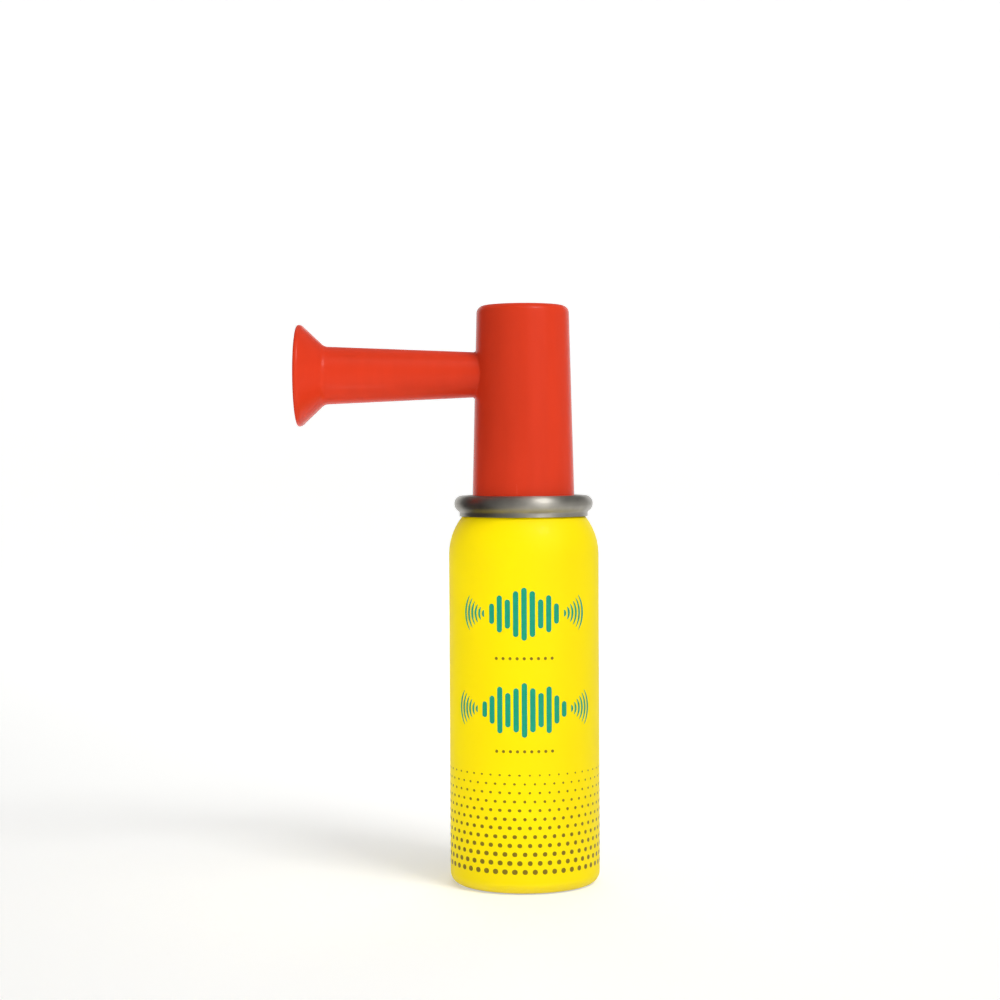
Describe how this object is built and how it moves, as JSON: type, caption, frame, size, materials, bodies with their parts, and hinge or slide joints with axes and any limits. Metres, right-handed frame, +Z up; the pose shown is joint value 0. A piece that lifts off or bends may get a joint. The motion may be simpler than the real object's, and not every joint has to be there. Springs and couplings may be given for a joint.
{
  "type": "air horn",
  "caption": "Hand-held gas air horn: a small printed can with a clinched valve cup and a pressed-down moulded horn whose side trumpet ends in a flared bell.",
  "frame": {"origin": "centre of the ring that the can stands on", "axes": "+Z up along the can's axis, the trumpet points to -X"},
  "size_m": [0.0703, 0.035, 0.1349],
  "materials": {
    "can_lacquer": "gloss",
    "cup_tinplate": "satin",
    "seal_rubber": "matte",
    "valve_plastic": "satin",
    "spring_steel": "satin",
    "stem_plastic": "satin",
    "horn_plastic": "gloss",
    "film_plastic": "satin",
    "core_plastic": "satin"
  },
  "bodies": {
    "can": {"can_shell": "can_lacquer", "valve_cup": "cup_tinplate", "cup_gasket": "seal_rubber", "valve_housing": "valve_plastic", "stem_gasket": "seal_rubber", "valve_spring": "spring_steel"},
    "stem": {"valve_stem": "stem_plastic"},
    "horn": {"horn_shell": "horn_plastic", "diaphragm": "film_plastic", "throat_core": "core_plastic", "inlet_plug": "core_plastic"}
  },
  "joints": [
    {"name": "horn_press", "type": "slide", "parent": "can", "child": "stem", "axis": [0, 0, -1], "range_m": [0, 0.0015], "stiffness_N_per_m": 1500, "springref_m": -0.0006, "deforming": ["valve_spring"]},
    {"name": "horn_swivel", "type": "hinge", "parent": "stem", "child": "horn", "pos_m": [0, 0, 0.095], "axis": [0, 0, 1], "continuous": true}
  ]
}
